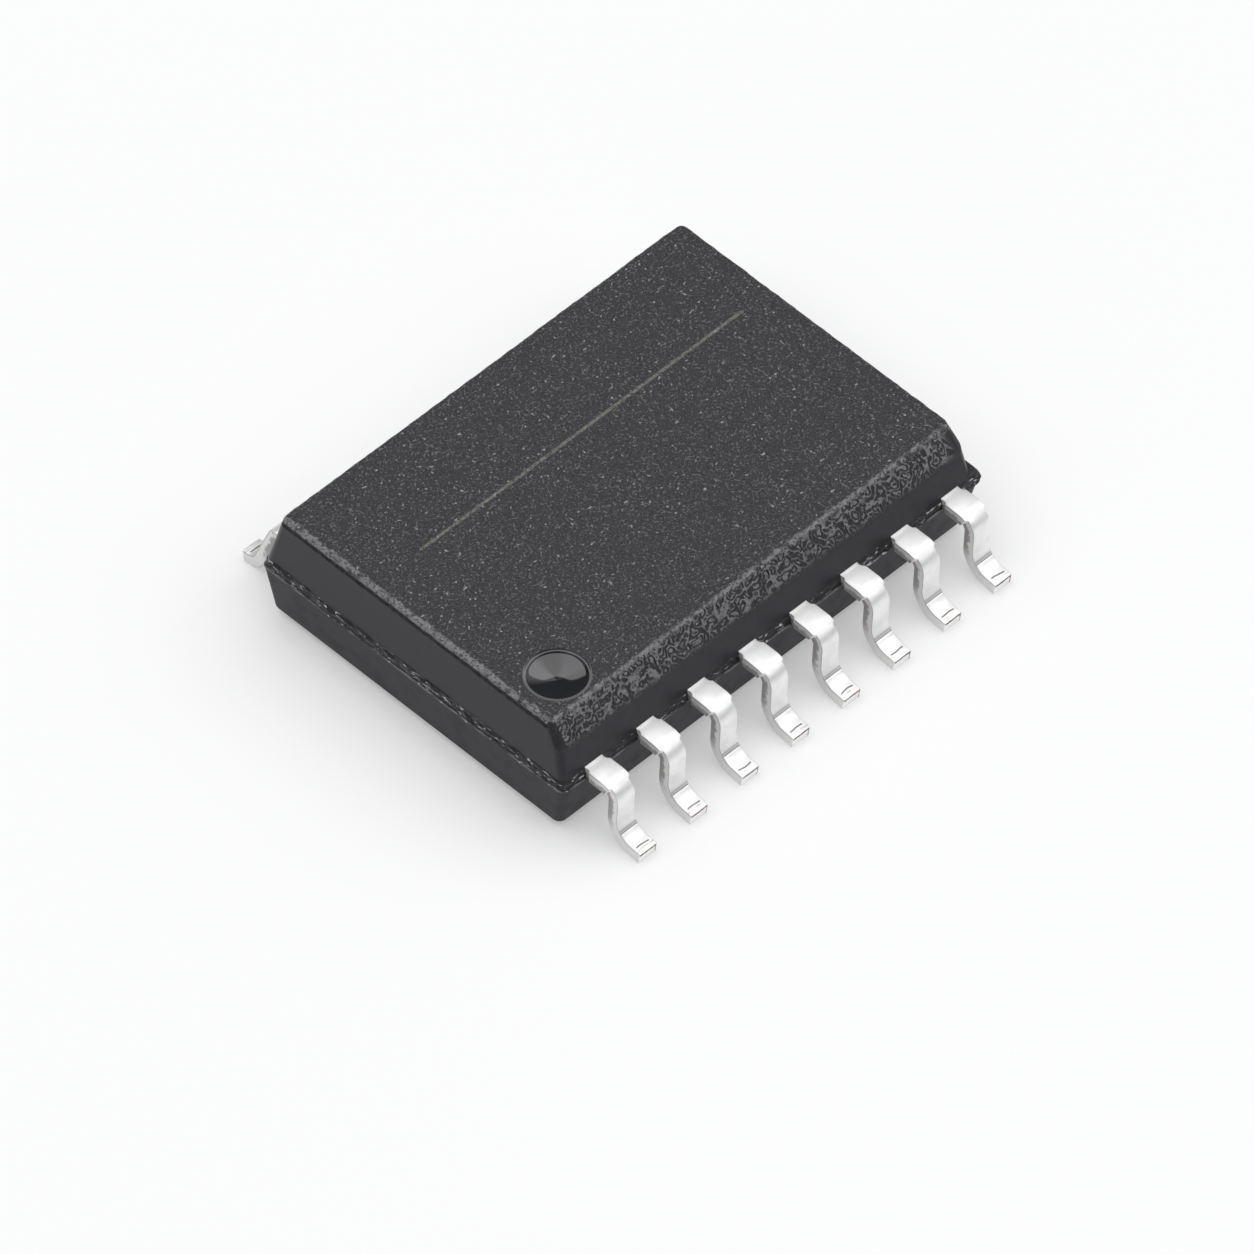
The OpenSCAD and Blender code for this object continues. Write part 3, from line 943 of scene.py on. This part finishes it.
ring_edges = list({e for v in ring for e in v.link_edges})
bmesh.ops.triangle_fill(bm, use_beauty=True, edges=top_rim + ring_edges, normal=(0, 0, 1))
pit_steps = [(radius * MM, level * MM) for radius, level in rim_steps]
for step in range(BOWL_STEPS):
    share = 1 - step / BOWL_STEPS
    level = RIM_FALL + (DIMPLE_DEPTH - RIM_FALL) * (1 - share ** 2)
    pit_steps.append((DIMPLE_RADIUS * share, -level))
for radius, level in pit_steps:
    grown = bmesh.ops.extrude_edge_only(bm, edges=ring_edges)["geom"]
    ring = [part for part in grown if isinstance(part, bmesh.types.BMVert)]
    grown_edges = [part for part in grown if isinstance(part, bmesh.types.BMEdge)]
    ring_edges = [edge for edge in grown_edges if all(vert in ring for vert in edge.verts)]
    for vert in ring:
        arm = (vert.co.xy - DIMPLE).normalized() * radius
        share = min(1.0, radius / DIMPLE_RADIUS)
        along = (arm.x + arm.y) / math.sqrt(2)
        across = (arm.x - arm.y) / math.sqrt(2)
        lean = PIN_LEAN * along * math.exp(-(across / PIN_TIP) ** 2) * (1 - share ** 2)
        vert.co = (DIMPLE.x + arm.x, DIMPLE.y + arm.y, BODY_TOP + level - lean)
bmesh.ops.contextual_create(bm, geom=ring_edges)
bmesh.ops.recalc_face_normals(bm, faces=bm.faces[:])

# The body's finishes, in the order in which its mesh holds them, and where each begins and ends.
SATIN, ERODED_TOP, ERODED_BEVEL, TORN_AND_SHADED, POLISHED, MATT = range(6)
POLISHED_RADIUS = 0.608 * MM
PIT_LOW = 2.3 * MM
END_FACING = -0.25
FULL_END = -0.85
CORNER_FACING = -0.2
BEVEL_END_LOW = 1.97 * MM
BEVEL_END_HIGH = 2.46 * MM
TOP_BAND = 2.44 * MM
UPWARD = 0.6
GROOVE_LOW = 2.352 * MM
FLAT = 0.99999
CREASED = math.radians(40)


def resin_skin(face):
    """Which finish a face of the body takes."""
    out = face.normal
    middle = face.calc_center_median()
    end_side = out.x < END_FACING
    if (middle.xy - DIMPLE).length < POLISHED_RADIUS and middle.z > PIT_LOW:
        return POLISHED
    # Painted shade: the rounded corner by lead 1, above the bevel's foot, takes the dark flash finish.
    if FULL_END < out.x < END_FACING and out.y < CORNER_FACING and middle.z > BEVEL_LOW:
        return TORN_AND_SHADED
    # Painted shade: the bevel's end past its ridges, by the lead 1 end, takes the dark flash finish.
    past_relief = middle.x < RELIEF_ENDS[0] and middle.y < BEVEL_TOP_Y and not end_side
    if past_relief and BEVEL_END_LOW < middle.z < BEVEL_END_HIGH:
        return TORN_AND_SHADED
    if middle.z > TOP_BAND and (out.z > UPWARD or end_side):
        return ERODED_TOP
    # Painted shade: the groove under the top edge of the lead 1 end takes the dark flash finish.
    if end_side and GROOVE_LOW < middle.z < TOP_BAND:
        return TORN_AND_SHADED
    if middle.z > BEVEL_LOW and out.y < -SLANT_OUT and out.z > SLANT_UP:
        return ERODED_BEVEL
    if PARTING < middle.z < FLASH_TOP:
        return TORN_AND_SHADED
    return MATT if middle.z < PARTING else SATIN


for face in bm.faces:
    face.smooth = True
    face.material_index = resin_skin(face)
for edge in bm.edges:
    flat_faces = sum(face.normal.z > FLAT for face in edge.link_faces)
    torn_and_shaded_faces = sum(face.material_index == TORN_AND_SHADED for face in edge.link_faces)
    edge.smooth = flat_faces != 1 and torn_and_shaded_faces != 1 and edge.calc_face_angle(0) < CREASED
bmesh.ops.translate(bm, vec=(0, BODY_SHIFT, 0), verts=bm.verts[:])

STROKE_INPUTS = {"Vector": "NodeSocketVector", "Size": "NodeSocketFloat", "Lines": "NodeSocketFloat"}
BREAK_RATIO = 1.7
PIT_RATIO = 2.3
erosion, entry, leave = new_group("erosion_strokes", STROKE_INPUTS, ["Strokes", "Pits", "Height"])
stroke_scale = combine(erosion, "DIVIDE", 1.0, entry["Size"])
phase = times(erosion, clouds(erosion, entry["Vector"], stroke_scale, 1.0), entry["Lines"])
ridge = combine(erosion, "SINE", times(erosion, phase, 2 * math.pi))
ridge = soft_step(erosion, ridge, 0.6, 1.0)
break_scale = times(erosion, stroke_scale, BREAK_RATIO)
breaks = clouds(erosion, entry["Vector"], break_scale, 0.0)
strokes = times(erosion, ridge, soft_step(erosion, breaks, 0.4, 0.55))
pit_scale = times(erosion, stroke_scale, PIT_RATIO)
pit = soft_step(erosion, clouds(erosion, entry["Vector"], pit_scale, 2.0), 0.44, 0.3)
erosion.links.new(strokes, leave["Strokes"])
erosion.links.new(pit, leave["Pits"])
erosion.links.new(combine(erosion, "SUBTRACT", strokes, pit), leave["Height"])

RESIN_BLACK = (0.024, 0.024, 0.029, 1)
PIT_SHADE = (0.012, 0.012, 0.014, 1)
STROKE_HIGHLIGHT = (0.12, 0.12, 0.125, 1)
CREST_HIGHLIGHT = (0.18, 0.18, 0.19, 1)
RESIN_WEAR_AND_HIGHLIGHT = (0.21, 0.21, 0.22, 1)
RESIN_SPECK = (0.3, 0.3, 0.31, 1)
RULE_GREY = (0.18, 0.172, 0.152, 1)
RULE_MIDDLE = Vector((0.245, 1.37)) * MM
RULE_HALF = Vector((4.015, 0.045)) * MM
RULE_CORE = 0.99
END_EDGE = 4.93 * MM
END_PALE_BAND = (0.07 * MM, 0.03 * MM)
BEVEL_EDGE = BEVEL_TOP_Y + BODY_SHIFT
EDGE_PALE_BAND = (0.06 * MM, 0.015 * MM)
RAGGED_SWAY = 0.18 * MM
TEXTURE_FOOT = (1.98 * MM, 2.12 * MM)
PATCHY_SHARE = 0.6


def eroded_finish(name, size, lines, depth, modelled):
    """Resin with the curved strokes that spark erosion leaves in a mould, with painted highlight on the
    strokes and painted shade in each hollow, and a pale band along its edges that is partly wear and partly
    painted highlight.
    """
    finish, tree, shader, where = new_finish(name)
    marks = place_group(tree, erosion, {"Vector": where, "Size": size, "Lines": lines})
    strokes = marks["Strokes"]
    pit_shade = marks["Pits"]
    if modelled:
        ridge = add_node(tree, "ShaderNodeAttribute", attribute_name="crest").outputs["Fac"]
        patchy = soft_step(tree, grain(tree, where, 0.16 * MM), 0.3, 0.62)
        patchy = times(tree, patchy, PATCHY_SHARE)
        patchy = combine(tree, "ADD", patchy, 1 - PATCHY_SHARE)
        strokes = times(tree, soft_step(tree, ridge, 0.25, 0.9), patchy)
        pit_shade = soft_step(tree, ridge, 0.3, 0.0)
    parts = split(tree, where)
    # The pale band along the bevel's top edge and along the end edge by lead 1 is partly wear and partly
    # painted highlight where the rounded edge catches the light.
    wander = sway(tree, grain(tree, where, 0.09 * MM, 3.0), RAGGED_SWAY)
    edge_gap = combine(tree, "ABSOLUTE", combine(tree, "SUBTRACT", parts["Y"], BEVEL_EDGE))
    wear_and_highlight = soft_step(tree, combine(tree, "ADD", edge_gap, wander), *EDGE_PALE_BAND)
    if not modelled:
        end_gap = combine(tree, "ADD", combine(tree, "ADD", parts["X"], END_EDGE), wander)
        wear_and_highlight = combine(tree, "MAXIMUM", soft_step(tree, end_gap, *END_PALE_BAND), wear_and_highlight)
    wear_and_highlight = times(tree, wear_and_highlight, soft_step(tree, grain(tree, where, 0.05 * MM), 0.3, 0.52))
    wear_and_highlight = times(tree, wear_and_highlight, soft_step(tree, grain(tree, where, 0.15 * MM), 0.25, 0.55))
    textured = soft_step(tree, combine(tree, "ADD", parts["Z"], wander), *TEXTURE_FOOT)
    strokes = times(tree, strokes, textured)
    pit_shade = times(tree, pit_shade, textured)
    # Painted highlight on the stroke crests and painted shade in the hollows stand in for the glints and
    # shade of the eroded relief.
    tone = blend_colour(tree, pit_shade, RESIN_BLACK, PIT_SHADE)
    tone = blend_colour(tree, strokes, tone, CREST_HIGHLIGHT if modelled else STROKE_HIGHLIGHT)
    if not modelled:
        along = combine(tree, "ABSOLUTE", combine(tree, "SUBTRACT", parts["X"], RULE_MIDDLE.x))
        rule = thin_line(tree, parts["Y"], RULE_MIDDLE.y, RULE_HALF.y)
        rule = times(tree, rule, soft_step(tree, along, RULE_HALF.x, RULE_CORE * RULE_HALF.x))
        rule = times(tree, rule, soft_step(tree, grain(tree, where, 0.04 * MM, 1.0), 0.2, 0.6))
        tone = blend_colour(tree, rule, tone, RULE_GREY)
    specks = soft_step(tree, grain(tree, where, 0.07 * MM, 0.0), 0.76, 0.82)
    tone = blend_colour(tree, times(tree, specks, textured), tone, RESIN_SPECK)
    paint(tree, shader, wear_and_highlight, tone, RESIN_WEAR_AND_HIGHLIGHT)
    vary_roughness(tree, shader, strokes, 0.55, 0.4)
    relief(tree, shader, times(tree, marks["Height"], textured), depth)
    return finish


eroded_top = eroded_finish("eroded_resin", size=0.08 * MM, lines=2.4, depth=0.008 * MM, modelled=False)
eroded_bevel = eroded_finish("ridged_resin", size=0.07 * MM, lines=2.0, depth=0.003 * MM, modelled=True)

SATIN_DARK = (0.013, 0.013, 0.019, 1)
SATIN_PALE = (0.022, 0.022, 0.028, 1)


def satin_finish(name, gloss, roughness):
    """Resin off a smooth mould wall, a little cloudy. Roughness is its least and its most."""
    finish, tree, shader, where = new_finish(name)
    mottled = soft_step(tree, grain(tree, where, 0.4 * MM, 3.0), 0.45, 0.7)
    paint(tree, shader, mottled, SATIN_DARK, SATIN_PALE)
    vary_roughness(tree, shader, mottled, *roughness)
    shader.inputs["Specular IOR Level"].default_value = gloss
    relief(tree, shader, grain(tree, where, 0.05 * MM, 3.0), 0.002 * MM)
    return finish


satin = satin_finish("satin_resin", gloss=0.42, roughness=(0.36, 0.48))
matt = satin_finish("matt_resin", gloss=0.25, roughness=(0.48, 0.58))

FLASH_DARK = (0.006, 0.006, 0.007, 1)
FLASH_GREY = (0.045, 0.045, 0.05, 1)
FLASH_GLINT = (0.45, 0.45, 0.46, 1)
LIP_HIGHLIGHT = (0.16, 0.16, 0.165, 1)
GLINT_STRETCH = (1, 1, 4.5)
GLINT_TOP = (1.48 * MM, 1.46 * MM)
LIP_LINE = (1.277 * MM, 1.266 * MM)
LIP_SWAY = 0.03 * MM
flash, tree, shader, where = new_finish("torn_flash_and_shade")
lumps = grain(tree, where, 0.2 * MM, 3.0)
height = split(tree, where)["Z"]
# Painted glints: pale streaks in the flash band stand in for the highlights on its glossy lumps.
drawn = add_node(tree, "ShaderNodeMapping", {"Vector": where, "Scale": GLINT_STRETCH}).outputs[0]
painted_glints = soft_step(tree, grain(tree, drawn, 0.15 * MM, 1.0), 0.63, 0.7)
painted_glints = times(tree, painted_glints, soft_step(tree, height, *GLINT_TOP))
# Painted highlight: the pale line along the flash's lower edge, where that edge catches the light.
lip_highlight = soft_step(tree, combine(tree, "ADD", height, sway(tree, lumps, LIP_SWAY)), *LIP_LINE)
lip_highlight = times(tree, lip_highlight, soft_step(tree, grain(tree, where, 0.3 * MM), 0.36, 0.6))
tone = blend_colour(tree, lumps, FLASH_DARK, FLASH_GREY)
tone = blend_colour(tree, lip_highlight, tone, LIP_HIGHLIGHT)
paint(tree, shader, painted_glints, tone, FLASH_GLINT)
vary_roughness(tree, shader, lumps, 0.2, 0.45)
shader.inputs["Specular IOR Level"].default_value = 0.3
relief(tree, shader, lumps, 0.02 * MM)

PIT_BLACK = (0.003, 0.003, 0.005, 1)
PIT_GREY = (0.008, 0.008, 0.01, 1)
PIT_REFLECTION = (0.07, 0.07, 0.076, 1)
PIT_STREAKS = 3.5
LEFT_REFLECTION = (math.radians(118), math.radians(45))
RIGHT_REFLECTION = (math.radians(5), math.radians(40))
RIGHT_REFLECTION_SHARE = 0.5
polished, tree, shader, where = new_finish("polished_pit")
to_middle = (-DIMPLE.x, -DIMPLE.y - BODY_SHIFT, 0)
centred = add_node(tree, "ShaderNodeMapping", {"Vector": where, "Location": to_middle}).outputs[0]
parts = split(tree, centred)
turn = combine(tree, "ARCTAN2", parts["Y"], parts["X"])
streak_inputs = {"W": turn, "Scale": PIT_STREAKS, "Detail": 3.0}
streaks = add_node(tree, "ShaderNodeTexNoise", streak_inputs, noise_dimensions="1D").outputs["Fac"]
# Painted reflection: the two pale fans in the polished pit stand in for the lamp's reflection in its bowl.
right_reflection = times(tree, thin_line(tree, turn, *RIGHT_REFLECTION), RIGHT_REFLECTION_SHARE)
painted_reflections = combine(tree, "MAXIMUM", thin_line(tree, turn, *LEFT_REFLECTION), right_reflection)
paint(tree, shader, painted_reflections, blend_colour(tree, streaks, PIT_BLACK, PIT_GREY), PIT_REFLECTION)
vary_roughness(tree, shader, streaks, 0.05, 0.12)
shader.inputs["Specular IOR Level"].default_value = 1.0

body = new_piece(bm, "resin_body", (satin, eroded_top, eroded_bevel, flash, polished, matt))
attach(body, "root")
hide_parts("moulded_body")

# Floor, light and camera
# A white table, one broad softbox overhead that reaches out to the right, and a faint even fill.
# The camera is a long lens that looks down on the lead 1 corner.
FLOOR_HALF = 0.5
PAPER_GREY = (0.96, 0.96, 0.96, 1)
PAPER_WHITE = (0.98, 0.98, 0.98, 1)
PAPER_CLOUD = 40 * MM
SHADOW_LIFT = 0.3
bm = bmesh.new()
bmesh.ops.create_grid(bm, x_segments=8, y_segments=8, size=FLOOR_HALF)
mesh = bpy.data.meshes.new("white_table")
bm.to_mesh(mesh)
bm.free()
table, tree, shader, where = new_finish("white_table")
paint(tree, shader, grain(tree, where, PAPER_CLOUD), PAPER_GREY, PAPER_WHITE)
shader.inputs["Roughness"].default_value = 0.9
shader.inputs["Specular IOR Level"].default_value = 0.0
rays = add_node(tree, "ShaderNodeLightPath").outputs
seen = combine(tree, "MAXIMUM", rays["Is Camera Ray"], rays["Is Glossy Ray"])
seen = combine(tree, "MAXIMUM", seen, rays["Is Transmission Ray"])
glow = add_node(tree, "ShaderNodeEmission", {"Color": PAPER_WHITE, "Strength": 1.0}).outputs[0]
lifted = {0: times(tree, seen, SHADOW_LIFT), 1: shader.outputs[0], 2: glow}
paper = add_node(tree, "ShaderNodeMixShader", lifted).outputs[0]
tree.links.new(paper, tree.nodes["Material Output"].inputs["Surface"])
mesh.materials.append(table)
floor = bpy.data.objects.new("white_table", mesh)
bpy.context.scene.collection.objects.link(floor)

FILL_COLOUR = (0.92, 0.95, 1, 1)
FILL_STRENGTH = 0.15
world = bpy.data.worlds.new("studio_fill")
world.use_nodes = True
background = world.node_tree.nodes["Background"]
background.inputs["Color"].default_value = FILL_COLOUR
background.inputs["Strength"].default_value = FILL_STRENGTH
bpy.context.scene.world = world

VIEW_TURN = math.radians(44.8124)
VIEW_RISE = math.radians(49.0191)
PIXELS_PER_METRE = 56.4005 / MM
IMAGE_WIDTH = 1254
MIDDLE_IN_IMAGE = Vector((620.887, 522.231))
MIDDLE_HEIGHT = 1.2 * MM
CAMERA_DISTANCE = 0.3602
across_view = Vector((math.cos(VIEW_TURN), -math.sin(VIEW_TURN), 0))
away = Vector((math.sin(VIEW_TURN), math.cos(VIEW_TURN), 0))
up_view = away * math.sin(VIEW_RISE) + Vector((0, 0, math.cos(VIEW_RISE)))
to_camera = -away * math.cos(VIEW_RISE) + Vector((0, 0, math.sin(VIEW_RISE)))
SOFTBOX_HEIGHT = 1.5
SOFTBOX_POWER = 60.2
SOFTBOX_LEFT = -1.2 * SOFTBOX_HEIGHT
SOFTBOX_RIGHT = 1.9 * SOFTBOX_HEIGHT
SOFTBOX_NEAR = -0.95 * SOFTBOX_HEIGHT
SOFTBOX_FAR = 1.035 * SOFTBOX_HEIGHT
softbox = bpy.data.lights.new("softbox", "AREA")
softbox.shape = "RECTANGLE"
softbox.size = SOFTBOX_RIGHT - SOFTBOX_LEFT
softbox.size_y = SOFTBOX_FAR - SOFTBOX_NEAR
softbox.energy = SOFTBOX_POWER
softbox_stand = bpy.data.objects.new("softbox", softbox)
softbox_middle = across_view * (SOFTBOX_LEFT + SOFTBOX_RIGHT) / 2 + away * (SOFTBOX_NEAR + SOFTBOX_FAR) / 2
softbox_stand.location = softbox_middle + Vector((0, 0, SOFTBOX_HEIGHT))
softbox_stand.rotation_euler = (0, 0, -VIEW_TURN)
bpy.context.scene.collection.objects.link(softbox_stand)

off_centre = (Vector((IMAGE_WIDTH, IMAGE_WIDTH)) / 2 - MIDDLE_IN_IMAGE) / PIXELS_PER_METRE
target = Vector((0, BODY_SHIFT, MIDDLE_HEIGHT)) + across_view * off_centre.x - up_view * off_centre.y
camera = bpy.data.cameras.new("camera")
camera.lens = PIXELS_PER_METRE * CAMERA_DISTANCE * camera.sensor_width / IMAGE_WIDTH
camera.clip_start = 0.01
camera.clip_end = 5.0
camera_stand = bpy.data.objects.new("camera", camera)
camera_stand.location = target + to_camera * CAMERA_DISTANCE
camera_stand.rotation_mode = "QUATERNION"
camera_stand.rotation_quaternion = (-to_camera).to_track_quat("-Z", "Y")
bpy.context.scene.collection.objects.link(camera_stand)
bpy.context.scene.camera = camera_stand
bpy.context.scene.view_settings.view_transform = "Standard"
